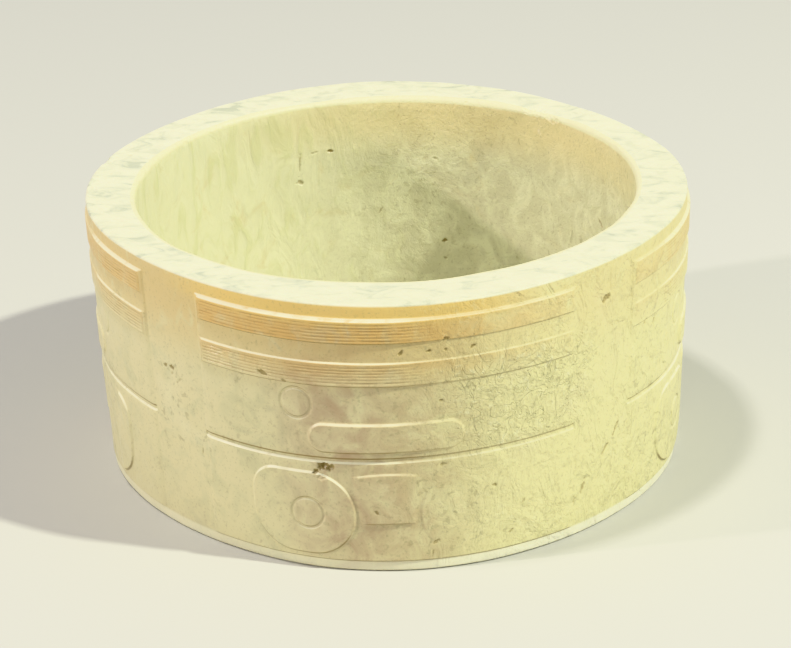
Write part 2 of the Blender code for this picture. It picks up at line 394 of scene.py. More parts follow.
points, _, faces, sources, _, _ = delaunay_2d_cdt(
    [Vector(point) for point in flat_points], flat_edges, [], 0, 0.004
)
x = np.array([point.x for point in points])
along = np.array([point.y for point in points])
height, clearance, inwards = (np.interp(along, section[:, 0], section[:, i]) for i in (1, 2, 3))
on_outside = (inwards == 0) & (clearance > -0.0001)
strong_level = panel_level(x, height) + raised_level(x, height, strong_forms) - groove_depth(x, height)
faint_level = raised_level(x, height, faint_forms) - ring_depth(x, height)
# How steeply each carved edge faces upwards, or downwards where it is below zero, which sets where edges get
# painted highlight and painted shade. Cut lines and the oval eyes are shallow but crisp, so they count for
# more.
EDGE_STEP = 0.13
CRISP_WEIGHT = 1.7
edge_facings = {}
for name, lowest, carved in (
    ("strong_up", -2, lambda z: (
        panel_level(x, z) + raised_level(x, z, strong_forms) - CRISP_WEIGHT * groove_depth(x, z)
    )),
    ("faint_up", -0.85, lambda z: CRISP_WEIGHT * (raised_level(x, z, faint_forms) - ring_depth(x, z))),
):
    steepness = (carved(height - EDGE_STEP) - carved(height + EDGE_STEP)) / (2 * EDGE_STEP)
    edge_facings[name] = np.where(on_outside, np.clip(steepness, lowest, 2), 0)
flat_skin = bpy.data.meshes.new("flat_skin")
flat_skin.from_pydata([(a * MM, b * MM, 0) for a, b in zip(x, along)], [], faces)
skin_values = {
    "height": height * MM,
    "clearance": clearance * MM,
    "strong": np.where(on_outside, strong_level, 0) * MM,
    "faint": np.where(on_outside, faint_level, 0) * MM,
    "score": np.array([max((scored[i] for i in source), default=0.0) for source in sources]) * MM,
    "inwards": inwards,
    **edge_facings,
}
for name, values in skin_values.items():
    flat_skin.attributes.new(name, "FLOAT", "POINT").data.foreach_set("value", values)
carved_cong = bpy.data.objects.new("carved_cong", flat_skin)
bpy.context.scene.collection.objects.link(carved_cong)


def add(tree, kind, links=None, **settings):
    """Add a node with its settings, then link or set its inputs by name or place."""
    node = tree.nodes.new(kind)
    for name, value in settings.items():
        setattr(node, name, value)
    for place, source in (links or {}).items():
        if isinstance(source, bpy.types.Node):
            source = source.outputs[0]
        if isinstance(source, bpy.types.NodeSocket):
            tree.links.new(source, node.inputs[place])
        else:
            node.inputs[place].default_value = source
    return node


# Wrapping: the flat skin is repeated for each panel, rolled into the ring, and worn
UNDULATION = 0.12
BORE_UNDULATION = 0.3
LINE_TILT = 0.3
WORN_DIRECTION = radians(-56)
WORN_REACH = (radians(34), radians(24))
SECOND_WORN_DIRECTION = radians(-176)
SECOND_WORN_REACH = (radians(17), radians(11))
PATCH_SIZE = 11
PATCH_WEAR = 0.5
RAGGED_EDGE = 0.12
HOLLOW_SIZE = 12

wrap = bpy.data.node_groups.new("wrap_round_ring", "GeometryNodeTree")
wrap.interface.new_socket("Flat skin", in_out="INPUT", socket_type="NodeSocketGeometry")
wrap.interface.new_socket("Ring", in_out="OUTPUT", socket_type="NodeSocketGeometry")
ring_sizes = {
    "Panel count": ("NodeSocketInt", PANEL_COUNT),
    "Height": ("NodeSocketFloat", HEIGHT * MM),
    "Lip radius": ("NodeSocketFloat", LIP_RADIUS * MM),
    "Foot narrowing": ("NodeSocketFloat", FOOT_NARROWING * MM),
    "Corner swell": ("NodeSocketFloat", CORNER_SWELL * MM),
    "Oval swell": ("NodeSocketFloat", OVAL_SWELL * MM),
    "Oval direction": ("NodeSocketFloat", OVAL_DIRECTION),
    "Bore radius": ("NodeSocketFloat", BORE_RADIUS * MM),
    "Bore shift": ("NodeSocketFloat", BORE_SHIFT * MM),
    "Line tilt": ("NodeSocketFloat", LINE_TILT * MM),
    "Worn direction": ("NodeSocketFloat", WORN_DIRECTION),
    "Second worn direction": ("NodeSocketFloat", SECOND_WORN_DIRECTION),
    "Undulation": ("NodeSocketFloat", UNDULATION * MM),
    "Bore undulation": ("NodeSocketFloat", BORE_UNDULATION * MM),
    "Seed": ("NodeSocketFloat", 3.0),
}
wrap_inputs = {}
for name, (kind, _) in ring_sizes.items():
    wrap_inputs[name] = wrap.interface.new_socket(name, in_out="INPUT", socket_type=kind).identifier
given = add(wrap, "NodeGroupInput").outputs

# One copy of the flat skin for each panel, which knows its number
panel_places = add(wrap, "GeometryNodeMeshLine", {"Count": given["Panel count"], "Offset": (0, 0, 0)})
copies = add(wrap, "GeometryNodeInstanceOnPoints", {"Points": panel_places, "Instance": given["Flat skin"]})
number = add(wrap, "GeometryNodeInputIndex")
numbered = add(
    wrap, "GeometryNodeStoreNamedAttribute", {"Geometry": copies, "Name": "panel", "Value": number},
    data_type="FLOAT", domain="INSTANCE",
)
skins = add(wrap, "GeometryNodeRealizeInstances", {"Geometry": numbered})
stored = {}
for name in ("panel", "height", "clearance", "strong", "faint", "score", "inwards"):
    stored[name] = add(wrap, "GeometryNodeInputNamedAttribute", {"Name": name}, data_type="FLOAT")

# Azimuth, and its angle from the middle of the front panel
place = add(wrap, "ShaderNodeSeparateXYZ", {0: add(wrap, "GeometryNodeInputPosition")})
panel_turn = add(wrap, "ShaderNodeMath", {0: 2 * pi, 1: given["Panel count"]}, operation="DIVIDE")
skin_angle = add(wrap, "ShaderNodeMath", {0: place, 1: given["Lip radius"]}, operation="DIVIDE")
from_front = add(wrap, "ShaderNodeMath", {
    0: stored["panel"], 1: panel_turn, 2: skin_angle,
}, operation="MULTIPLY_ADD")
azimuth = add(wrap, "ShaderNodeMath", {0: from_front, 1: -pi / 2}, operation="ADD")
direction = add(wrap, "ShaderNodeCombineXYZ", {
    0: add(wrap, "ShaderNodeMath", {0: azimuth}, operation="COSINE"),
    1: add(wrap, "ShaderNodeMath", {0: azimuth}, operation="SINE"),
})

# Wear: one side of the front panel, and patches elsewhere, have lost the finest carving
spot = add(wrap, "ShaderNodeCombineXYZ", {
    0: add(wrap, "ShaderNodeMath", {0: from_front, 1: given["Lip radius"]}, operation="MULTIPLY"),
    1: stored["height"],
})
patches = add(wrap, "ShaderNodeTexNoise", {
    "Vector": spot, "W": given["Seed"], "Scale": 1 / (PATCH_SIZE * MM), "Detail": 3.0,
}, noise_dimensions="4D")
ragged = add(wrap, "ShaderNodeMath", {
    0: patches, 1: RAGGED_EDGE, 2: -RAGGED_EDGE / 2,
}, operation="MULTIPLY_ADD")
wear = add(wrap, "ShaderNodeMapRange", {
    "Value": patches, "From Min": 0.5, "From Max": 0.75, "To Max": PATCH_WEAR,
}, interpolation_type="SMOOTHSTEP")
for name, (begins, full) in (
    ("Worn direction", WORN_REACH),
    ("Second worn direction", SECOND_WORN_REACH),
):
    from_worn = add(wrap, "ShaderNodeMath", {0: azimuth, 1: given[name]}, operation="SUBTRACT")
    nearness = add(wrap, "ShaderNodeMath", {0: from_worn}, operation="COSINE")
    worn_share = add(wrap, "ShaderNodeMath", {0: nearness, 1: ragged}, operation="ADD")
    worn_side = add(wrap, "ShaderNodeMapRange", {
        "Value": worn_share, "From Min": cos(begins), "From Max": cos(full),
    }, interpolation_type="SMOOTHSTEP")
    wear = add(wrap, "ShaderNodeMath", {0: wear, 1: worn_side}, operation="MAXIMUM")
kept = add(wrap, "ShaderNodeMath", {0: 1.0, 1: wear}, operation="SUBTRACT")
# The carving adds up to a level, and this share of each kind is left where the wear is heaviest
level = stored["clearance"]
for name, left_over, sign in (("strong", 0.65, 1), ("faint", 0.12, 1), ("score", 0.05, -1)):
    share_kept = add(wrap, "ShaderNodeMath", {
        0: kept, 1: (1 - left_over) * sign, 2: left_over * sign,
    }, operation="MULTIPLY_ADD")
    level = add(wrap, "ShaderNodeMath", {
        0: stored[name], 1: share_kept, 2: level,
    }, operation="MULTIPLY_ADD")

marked = add(wrap, "GeometryNodeStoreNamedAttribute", {
    "Geometry": skins, "Name": "kept", "Value": kept,
}, data_type="FLOAT", domain="POINT")

# The ring's radius there: narrower at the foot, fuller at the corners, a little oval
height_share = add(wrap, "ShaderNodeMath", {0: stored["height"], 1: given["Height"]}, operation="DIVIDE")
foot_radius = add(wrap, "ShaderNodeMath", {
    0: given["Lip radius"], 1: given["Foot narrowing"],
}, operation="SUBTRACT")
tapered = add(wrap, "ShaderNodeMath", {
    0: height_share, 1: given["Foot narrowing"], 2: foot_radius,
}, operation="MULTIPLY_ADD")
corner_angle = add(wrap, "ShaderNodeMath", {0: from_front, 1: given["Panel count"]}, operation="MULTIPLY")
cornered = add(wrap, "ShaderNodeMath", {
    0: add(wrap, "ShaderNodeMath", {0: corner_angle}, operation="COSINE"),
    1: given["Corner swell"],
    2: tapered,
}, operation="MULTIPLY_ADD")
oval_angle = add(wrap, "ShaderNodeMath", {0: azimuth, 1: given["Oval direction"]}, operation="SUBTRACT")
twice_angle = add(wrap, "ShaderNodeMath", {0: oval_angle, 1: 2.0}, operation="MULTIPLY")
bare_radius = add(wrap, "ShaderNodeMath", {
    0: add(wrap, "ShaderNodeMath", {0: twice_angle}, operation="COSINE"),
    1: given["Oval swell"],
    2: cornered,
}, operation="MULTIPLY_ADD")
outer_radius = add(wrap, "ShaderNodeMath", {0: bare_radius, 1: level}, operation="ADD")
bore_radius = add(wrap, "ShaderNodeMath", {0: given["Bore radius"], 1: stored["clearance"]}, operation="ADD")
outer_place = add(wrap, "ShaderNodeVectorMath", {0: direction, "Scale": outer_radius}, operation="SCALE")
bore_place = add(wrap, "ShaderNodeVectorMath", {
    0: add(wrap, "ShaderNodeVectorMath", {0: direction, "Scale": bore_radius}, operation="SCALE"),
    1: add(wrap, "ShaderNodeCombineXYZ", {1: given["Bore shift"]}),
}, operation="ADD")
flat_place = add(wrap, "ShaderNodeMix", {
    "Factor": stored["inwards"], 4: outer_place, 5: bore_place,
}, data_type="VECTOR")

# The panel's level lines climb a little to the right, most at half height
lean_angle = add(wrap, "ShaderNodeMath", {0: skin_angle, 1: given["Panel count"]}, operation="MULTIPLY")
lean = add(wrap, "ShaderNodeMath", {0: lean_angle}, operation="SINE")
rest_share = add(wrap, "ShaderNodeMath", {0: 1.0, 1: height_share}, operation="SUBTRACT")
half_height = add(wrap, "ShaderNodeMath", {0: height_share, 1: rest_share}, operation="MULTIPLY")
window = add(wrap, "ShaderNodeMath", {0: half_height, 1: 4.0}, operation="MULTIPLY")
leaning = add(wrap, "ShaderNodeMath", {0: lean, 1: window}, operation="MULTIPLY")
lifted = add(wrap, "ShaderNodeMath", {
    0: leaning, 1: given["Line tilt"], 2: stored["height"],
}, operation="MULTIPLY_ADD")
ring_place = add(wrap, "ShaderNodeVectorMath", {
    0: flat_place.outputs[1], 1: add(wrap, "ShaderNodeCombineXYZ", {2: lifted}),
}, operation="ADD")
rolled = add(wrap, "GeometryNodeSetPosition", {"Geometry": marked, "Position": ring_place})
joined = add(wrap, "GeometryNodeMergeByDistance", {"Geometry": rolled, "Distance": 0.01 * MM})

# Sawn and ground by hand, the wall is never quite even, least of all in the bore
hollows = add(wrap, "ShaderNodeTexNoise", {
    "Vector": add(wrap, "GeometryNodeInputPosition"), "W": given["Seed"],
    "Scale": 1 / (HOLLOW_SIZE * MM), "Detail": 1.0,
}, noise_dimensions="4D")
sink = add(wrap, "ShaderNodeMapRange", {
    "Value": hollows, "From Min": 0.3, "From Max": 0.7, "To Max": -1.0,
})
reach = add(wrap, "ShaderNodeMix", {
    "Factor": stored["inwards"], 2: given["Undulation"], 3: given["Bore undulation"],
}, data_type="FLOAT")
sunk = add(wrap, "ShaderNodeMath", {0: sink, 1: reach}, operation="MULTIPLY")
sink_vector = add(wrap, "ShaderNodeVectorMath", {
    0: add(wrap, "GeometryNodeInputNormal"), "Scale": sunk,
}, operation="SCALE")
uneven = add(wrap, "GeometryNodeSetPosition", {"Geometry": joined, "Offset": sink_vector})
real = add(wrap, "GeometryNodeRealizeInstances", {"Geometry": uneven})
nephrite = bpy.data.materials.new("polished_altered_nephrite")
finished = add(wrap, "GeometryNodeSetMaterial", {"Geometry": real, "Material": nephrite})
add(wrap, "NodeGroupOutput", {0: finished})

modifier = carved_cong.modifiers.new("wrap", "NODES")
modifier.node_group = wrap
for name, (_, value) in ring_sizes.items():
    modifier[wrap_inputs[name]] = value
evaluated = carved_cong.evaluated_get(bpy.context.evaluated_depsgraph_get())
ring_mesh = bpy.data.meshes.new_from_object(evaluated)
carved_cong.modifiers.remove(modifier)
carved_cong.data = ring_mesh

# Pits, chips and cracks, left by centuries in the ground: direction in degrees from the middle of
# the front panel, height, or for the lip its share of the way inwards, then half length, half
# width and depth in millimetres, lean in degrees, and how much dark earth is left in it
outside_damage = [
    (-10.7, 17.7, 1.1, 0.6, 0.5, -10, 1.0),
    (-12.1, 17.5, 0.9, 0.65, 0.5, 30, 1.0),
    (-12.9, 16.9, 0.55, 0.4, 0.35, 60, 0.9),
    (-9.7, 17.5, 0.6, 0.45, 0.35, 0, 0.9),
    (-12.0, 16.1, 0.9, 0.5, 0.3, 10, 0.0),
    (-22.8, 32.5, 0.75, 0.5, 0.35, -35, 0.75),
    (-18.2, 32.1, 0.4, 0.25, 0.2, -30, 0.5),
    (-32.5, 33.0, 1.6, 0.3, 0.12, 65, 0.15),
    (-31.3, 34.6, 1.0, 0.25, 0.12, 10, 0.15),
    (-45.6, 28.3, 0.5, 0.42, 0.35, -20, 0.9),
    (-48.0, 28.5, 0.4, 0.35, 0.25, 0, 0.8),
    (-46.4, 27.2, 0.4, 0.3, 0.2, 20, 0.4),
    (-44.3, 26.3, 0.9, 0.2, 0.15, 40, 0.4),
    (-39.2, 15.3, 0.8, 0.2, 0.2, 75, 0.5),
    (2.6, 37.1, 0.55, 0.3, 0.3, 55, 0.8),
    (7.8, 37.3, 0.45, 0.25, 0.3, 20, 0.9),
    (10.6, 37.2, 0.35, 0.2, 0.2, 0, 0.7),
    (11.3, 39.3, 0.45, 0.35, 0.3, 20, 0.7),
    (16.4, 37.5, 0.65, 0.28, 0.35, 25, 1.0),
    (10.1, 28.8, 0.4, 0.22, 0.25, 0, 0.7),
    (5.7, 21.4, 0.3, 0.2, 0.2, 0, 0.4),
    (-1.6, 10.1, 0.35, 0.3, 0.25, 0, 0.7),
    (20.1, 13.1, 0.4, 0.3, 0.25, 0, 0.6),
    (23.1, 4.5, 0.6, 0.25, 0.3, 50, 0.6),
    (25.5, 9.4, 0.5, 0.25, 0.2, 60, 0.5),
    (8.5, 5.0, 0.7, 0.3, 0.3, 40, 0.5),
    (7.7, 2.6, 0.8, 0.2, 0.15, 80, 0.5),
    (10.2, 18.3, 0.5, 0.3, 0.3, 30, 0.5),
    (45.3, 38.6, 0.9, 0.6, 0.5, 20, 0.7),
    (57.2, 31.2, 0.7, 0.35, 0.3, 60, 0.5),
    (61.1, 30.6, 0.6, 0.3, 0.3, 70, 0.5),
    (48.6, 15.6, 1.6, 0.3, 0.3, 62, 0.6),
    (45.6, 13.0, 1.0, 0.3, 0.25, 50, 0.6),
    (40.4, 8.4, 1.3, 0.35, 0.3, 70, 0.6),
    (38.2, 6.3, 0.8, 0.25, 0.2, 50, 0.4),
]
bore_damage = [
    (-165.4, 35.5, 0.6, 0.35, 0.35, 10, 1.0),
    (-162.0, 36.4, 0.9, 0.2, 0.15, 10, 0.4),
    (-157.3, 34.4, 1.9, 0.25, 0.2, 85, 0.5),
    (-158.1, 31.4, 0.6, 0.45, 0.3, 0, 0.6),
    (-176.8, 23.8, 1.0, 0.2, 0.15, 55, 0.5),
    (167.9, 19.4, 0.45, 0.35, 0.35, 0, 1.0),
    (167.2, 15.7, 0.35, 0.25, 0.2, 0, 0.6),
    (169.6, 34.6, 0.35, 0.25, 0.2, 0, 0.5),
    (109.9, 35.3, 1.0, 0.25, 0.2, 85, 0.4),
    (120.3, 29.6, 1.0, 0.3, 0.3, -40, 0.6),
]
lip_damage = [
    (-105.8, 0.0, 1.6, 1.0, 0.45, 0, 0.0),
    (-110.3, 0.4, 0.6, 0.4, 0.2, 40, 0.4),
    (-113.0, 0.45, 0.5, 0.3, 0.15, 0, 0.3),
    (-156.7, 0.5, 0.9, 0.3, 0.15, 60, 0.2),
    (143.0, 1.0, 2.6, 0.9, 0.45, 0, 0.0),
    (138.0, 1.0, 1.6, 0.7, 0.3, 0, 0.0),
    (41.0, 1.0, 0.9, 0.5, 0.25, 0, 0.1),
]
# Beyond what the photograph shows there are fewer of them, scattered by chance
HIDDEN_PITS = 14
for _ in range(HIDDEN_PITS):
    turn, rise = draw.uniform(72, 248), draw.uniform(3, 43)
    long, lean, earth = draw.uniform(0.25, 0.8), draw.uniform(-90, 90), draw.uniform(0.3, 0.8)
    wide = long * draw.uniform(0.4, 0.9)
    outside_damage.append((turn, rise, long, wide, 0.4 * wide + 0.05, lean, earth))
for _ in range(HIDDEN_PITS // 2):
    turn, rise, long = draw.uniform(-95, 95), draw.uniform(3, 42), draw.uniform(0.25, 0.6)
    bore_damage.append((turn, rise, long, long * 0.7, 0.3 * long, draw.uniform(-90, 90), 0.5))
for _ in range(HIDDEN_PITS):
    turn, long = draw.uniform(-180, 180), draw.uniform(0.3, 0.8)
    edge = float(draw.integers(0, 2))
    lip_damage.append((turn, edge, long, long * 0.5, draw.uniform(0.08, 0.2), 0, 0.0))

PIT_REACH = 1.5
PIT_THICKNESS = 4.0
DEPTH_LEFT = 0.7
WALL_STEEPNESS = 2.2
RAGGED_SIZE = 0.5
RAGGED_SHARE = 0.75
FLOOR_SIZE = 0.3
# Rounds of dividing the skin there: how far past the pit each goes, and edges it leaves whole
PIT_ROUNDS = ((2.4, 1.3), (1.1, 0.7), (0.6, 0.4), (0.2, 0.22))


class Pit:
    """One place of damage, with its own axes on the surface."""

    def __init__(self, centre, normal, half_length, half_width, depth, lean, earth, seed):
        level_axis = Vector((0, 0, 1)).cross(normal)
        if level_axis.length < 0.5:
            level_axis = Vector((-centre.y, centre.x, 0))
        level_axis.normalize()
        self.along = Matrix.Rotation(radians(lean), 3, normal) @ level_axis
        self.across = normal.cross(self.along)
        self.centre, self.normal, self.seed = centre, normal, seed
        self.half_length, self.half_width = half_length * MM, half_width * MM
        self.depth, self.earth = depth * DEPTH_LEFT * MM, earth

    def distances(self, places):
        """Distance from the pit's middle in half widths, for an array of places."""
        offset = places - np.array(self.centre)
        along = offset @ np.array(self.along) / self.half_length
        across = offset @ np.array(self.across) / self.half_width
        away = offset @ np.array(self.normal) / (PIT_THICKNESS * MM)
        return np.sqrt(along ** 2 + across ** 2 + np.maximum(away ** 2 - 1, 0) * 100)

    def near(self, places, margin):
        """Whether each place lies in the pit or within a margin of it."""
        apart = np.linalg.norm(places - np.array(self.centre), axis=1)
        return apart < max(self.half_length, self.half_width) * 1.2 + margin * MM


places = np.array([vertex.co for vertex in ring_mesh.vertices])
inwards = np.empty(len(places))
ring_mesh.attributes["inwards"].data.foreach_get("value", inwards)
front_angle = np.arctan2(places[:, 1], places[:, 0]) + pi / 2
upper_half = places[:, 2] > HEIGHT * MM / 2
pits = []
for damage, allowed, heights in (
    (outside_damage, inwards == 0, places[:, 2] / MM),
    (bore_damage, inwards == 1, places[:, 2] / MM),
    (lip_damage, upper_half & (places[:, 2] > (HEIGHT - BORE_ROUNDING) * MM), inwards * WALL),
):
    for turn, rise, *shape in damage:
        rise = rise * WALL if damage is lip_damage else rise
        around = np.angle(np.exp(1j * (front_angle - radians(turn)))) * LIP_RADIUS
        cost = np.where(allowed, np.hypot(around, heights - rise), np.inf)
        middle = ring_mesh.vertices[int(np.argmin(cost))]
        pits.append(Pit(middle.co.copy(), middle.normal.copy(), *shape, seed=len(pits)))

bm = bmesh.new()
bm.from_mesh(ring_mesh)
for margin, longest in PIT_ROUNDS:
    places = np.array([vertex.co for vertex in bm.verts])
    near = np.zeros(len(places), bool)
    for pit in pits:
        near |= pit.near(places, margin)
    bm.verts.index_update()
    split = [
        edge for edge in bm.edges
        if near[edge.verts[0].index] and near[edge.verts[1].index] and edge.calc_length() > longest * MM
    ]
    bmesh.ops.subdivide_edges(bm, edges=split, cuts=1, use_single_edge=True, use_grid_fill=True)
    bmesh.ops.triangulate(bm, faces=[face for face in bm.faces if len(face.verts) > 3])
places = np.array([vertex.co for vertex in bm.verts])
bm.verts.ensure_lookup_table()
earth_left = bm.verts.layers.float.new("earth")
for pit in pits:
    distance = pit.distances(places)
    for index in np.flatnonzero(distance < PIT_REACH):
        vertex = bm.verts[index]
        ragged = noise.noise(vertex.co / (RAGGED_SIZE * MM) + Vector((pit.seed, 0, 0)))
        from_edge = 1 - distance[index] * (1 + RAGGED_SHARE * ragged)
        inside = min(1, max(0, from_edge * WALL_STEEPNESS))
        floor = 0.8 + 0.5 * noise.noise(vertex.co / (FLOOR_SIZE * MM))
        vertex.co -= pit.normal * (pit.depth * inside * floor)
        vertex[earth_left] = max(vertex[earth_left], pit.earth * min(1, inside * 1.6))
bm.to_mesh(ring_mesh)
bm.free()
ring_mesh.shade_smooth()


def linear(hex_colour):
    """An sRGB hex colour as the linear colour that shaders take."""
    values = [int(hex_colour[i:i + 2], 16) / 255 for i in (1, 3, 5)]
    return (*[v / 12.92 if v <= 0.04045 else ((v + 0.055) / 1.055) ** 2.4 for v in values], 1)


# Nephrite, altered by long burial from green to cream and softly polished: cloudy grey-green
# mottles, an orange-tan stain under the lip, and a fine etched grain where the polish has gone
nephrite.use_nodes = True
tree = nephrite.node_tree
shader = tree.nodes["Principled BSDF"]
object_place = add(tree, "ShaderNodeTexCoord").outputs["Object"]

# Fields are the values over the stone that its finish depends on. First those that the mesh
# carries, and how much each worn edge still faces up, for the painted highlights and shade on the edges.
fields = {"everywhere": 1.0}
for name in ("height", "inwards", "strong", "score", "strong_up", "faint_up", "kept", "earth"):
    fields[name] = add(tree, "ShaderNodeAttribute", attribute_name=name).outputs["Fac"]
strong_kept = add(tree, "ShaderNodeMath", {0: fields["kept"], 1: 0.3, 2: 0.7}, operation="MULTIPLY_ADD")
strong_facing = add(tree, "ShaderNodeMath", {0: fields["strong_up"], 1: strong_kept}, operation="MULTIPLY")
fields["facing_up"] = add(tree, "ShaderNodeMath", {
    0: fields["faint_up"], 1: fields["kept"], 2: strong_facing,
}, operation="MULTIPLY_ADD")

# Patterns, each scaled by the size of its features in millimetres
for name, size, detail, roughness, distortion, stretch in (
    ("clouds", 16, 3, 0.5, 0.3, (1, 1, 1)),
    ("mottles", 5, 5, 0.6, 0.8, (1, 1, 1)),
    ("veins", 5, 4, 0.55, 1.2, (1, 1.6, 0.8)),
    ("streaks", 2.8, 5, 0.62, 0.8, (0.55, 1, 1)),
    ("wrinkles", 4.2, 3, 0.5, 1.8, (1, 1, 0.4)),
    ("etching", 1.5, 5, 0.65, 0.8, (1, 1, 1)),
    ("crinkle", 2.4, 2, 0.5, 1.4, (1, 1, 1)),
    ("grain", 0.45, 3, 0.6, 0.0, (1, 1, 1)),
    ("dashes", 1.2, 3, 0.55, 0.8, (1, 1, 0.5)),
    ("flecks", 1.1, 2, 0.5, 0.4, (1, 1, 1)),
):
    stretched = add(tree, "ShaderNodeMapping", {"Vector": object_place, "Scale": stretch})
    fields[name] = add(tree, "ShaderNodeTexNoise", {
        "Vector": stretched, "Scale": 1 / (size * MM), "Detail": detail, "Roughness": roughness,
        "Distortion": distortion,
    })

# Sides of the ring: a direction in degrees, and how far that way the side begins and is full
for name, angle, low, high in (
    ("right", -38, 0.45, 0.97),
    ("front_middle", -90, 0.9, 0.995),
    ("etched_side", -60, 0.93, 0.99),
    ("collar_side", -100, 0.75, 0.95),
    ("rear_right", 60, 0.1, 0.9),
    ("rear_left", 150, 0.2, 0.9),
    ("not_rear_left", 150, 0.9, 0.2),
):
    towards = (cos(radians(angle)) / (LIP_RADIUS * MM), sin(radians(angle)) / (LIP_RADIUS * MM), 0)
    share = add(tree, "ShaderNodeVectorMath", {0: object_place, 1: towards}, operation="DOT_PRODUCT")
    fields[name] = add(tree, "ShaderNodeMapRange", {
        "Value": share.outputs["Value"], "From Min": low, "From Max": high,
    }, interpolation_type="SMOOTHSTEP")

# Each row is a mask, with its strength and the fields that are multiplied for it, either as they
# are or as a soft step from 0 at one value to 1 at another. A row with a colour lays it over the
# rows before it. The others are kept as fields, and of two with one name the stronger counts.
# Height, relief and score are stepped in millimetres.
IN_MILLIMETRES = ("height", "strong", "score")
rows = (
    ("outside", 1, [("inwards", 0.02, 0.0)]),
    ("in_bore", 1, [("inwards", 0.97, 1.0)]),
    ("on_lip", 1, [("height", HEIGHT - 0.5, HEIGHT - 0.15)]),
    ("on_band", 1, [("strong", 0.35, 0.55), ("height", 30, 31)]),
    ("outer_right", 1, ["outside", "right"]),
    ("smooth_bore", 1, ["in_bore", "rear_left"]),
    ("rough_bore", 1, ["in_bore", ("rear_left", 0.9, 0.1)]),
    ("not_smooth", 1, [("inwards", 1.0, 0.97)]),
    ("not_smooth", 1, ["in_bore", "not_rear_left"]),
    ("etched", 1, ["outside", "etched_side", ("height", 15, 22), ("height", 38, 33)]),
    ("etched", 0.5, ["outer_right", ("clouds", 0.3, 0.6)]),
    ("etched", 0.35, ["in_bore", ("rear_left", 1, 0)]),
    # thin crinkled lines, where one pattern crosses its middle value
    ("crinkled", 1, [("crinkle", 0.455, 0.5), ("crinkle", 0.545, 0.5)]),
    # cloudy grey-green mottles and paler clouds
    ("#c6c49e", 0.65, [("mottles", 0.42, 0.7), ("clouds", 0.3, 0.55)]),
    ("#f0ecc8", 0.6, [("clouds", 0.55, 0.75)]),
    # pinkish tan in the middle of the front, partly the stone's tone and partly painted shade where the side
    # lamps leave the middle darker
    ("#c2a88a", 0.95, ["outside", "front_middle", ("mottles", 0.22, 0.72)]),
    # paler yellow on the right, partly the stone's tone and partly painted light from the right lamp
    ("#eee9b2", 0.8, ["outer_right", ("clouds", 0.2, 0.45)]),
    # the stain that has soaked in under the lip, strongest on the collar and the upper band
    ("#dcc389", 0.8, ["outside", ("right", 1.35, 0.5), ("height", 28, 41), ("veins", 0.15, 0.5)]),
    ("#e2b871", 0.7, [
        "outside", "on_band", ("right", 1.7, 0.4), ("collar_side", -1, 1), ("height", 31, 39),
        ("veins", 0.2, 0.6),
    ]),
    ("#f1d283", 0.85, ["outside", "collar_side", ("height", 41.0, 43.4)]),
    # the bore, greyer away from its left side and stained under the rim
    ("#eeeecd", 0.9, ["in_bore", ("mottles", 0.2, 0.45)]),
    ("#d5d2b2", 0.8, ["rough_bore", ("veins", 0.3, 0.6)]),
    ("#f2e3b0", 0.85, ["in_bore", "rear_right", ("height", 33, 42)]),
    ("#d8daa6", 0.45, ["smooth_bore", ("wrinkles", 0.48, 0.66)]),
    ("#a8a47f", 0.45, ["rough_bore", ("dashes", 0.38, 0.3), ("veins", 0.44, 0.56)]),
    # dark and pale grains and lines in the etched parts, and fine dark grains nearly everywhere
    ("#a9a982", 0.22, ["etched", ("etching", 0.48, 0.36), ("clouds", 0.3, 0.5)]),
    ("#a9a77c", 0.12, ["etched", "crinkled", ("mottles", 0.35, 0.5)]),
    ("#f5f2cb", 0.6, ["etched", "outside", ("etching", 0.54, 0.68)]),
    ("#a59d76", 0.4, ["not_smooth", ("flecks", 0.58, 0.7), ("clouds", 0.38, 0.6), ("height", 41, 36)]),
    ("#9f956e", 0.3, ["not_smooth", ("grain", 0.46, 0.28)]),
    # the lip, its pale stone painted lighter still as painted light falling on it from above, with its
    # marbled streaks
    ("#f5f4da", 1, ["on_lip"]),
    ("#d5d6bf", 0.95, ["on_lip", ("streaks", 0.4, 0.62)]),
    ("#bcc0ae", 0.8, ["on_lip", ("streaks", 0.53, 0.66), ("mottles", 0.3, 0.55)]),
    # a painted highlight on the rounded rim of the bore, where it catches the light
    ("#f2efcb", 1, ["in_bore", ("height", HEIGHT - 1.2, HEIGHT - 0.8)]),
    # the foot, painted pale on the right as a painted highlight where the light falls on it
    ("#fdfbe2", 1, ["outside", ("right", -1, 1), ("height", 2.0, 1.5)]),
    # edges painted pale where they face up, partly stone rubbed pale and partly a painted highlight where
    # the light from above catches them
    ("#fdf9dc", 1, [("facing_up", 0.5, 1.1), ("veins", 0.25, 0.5)]),
    # painted shade on edges that face down, and a painted shadow along the panels' ledge above the foot
    ("#8c7443", 0.8, [("facing_up", -0.4, -1.0)]),
    ("#8f7a4a", 0.6, ["outside", ("strong_up", -0.3, -0.9), ("height", 3.2, 2.6)]),
    # earth in the scored lines and the pits
    ("#b08a58", 0.4, ["kept", ("score", 0.02, 0.14)]),
    ("#96834f", 0.8, [("earth", 0, 1)]),
)
colour = linear("#e2dab0")
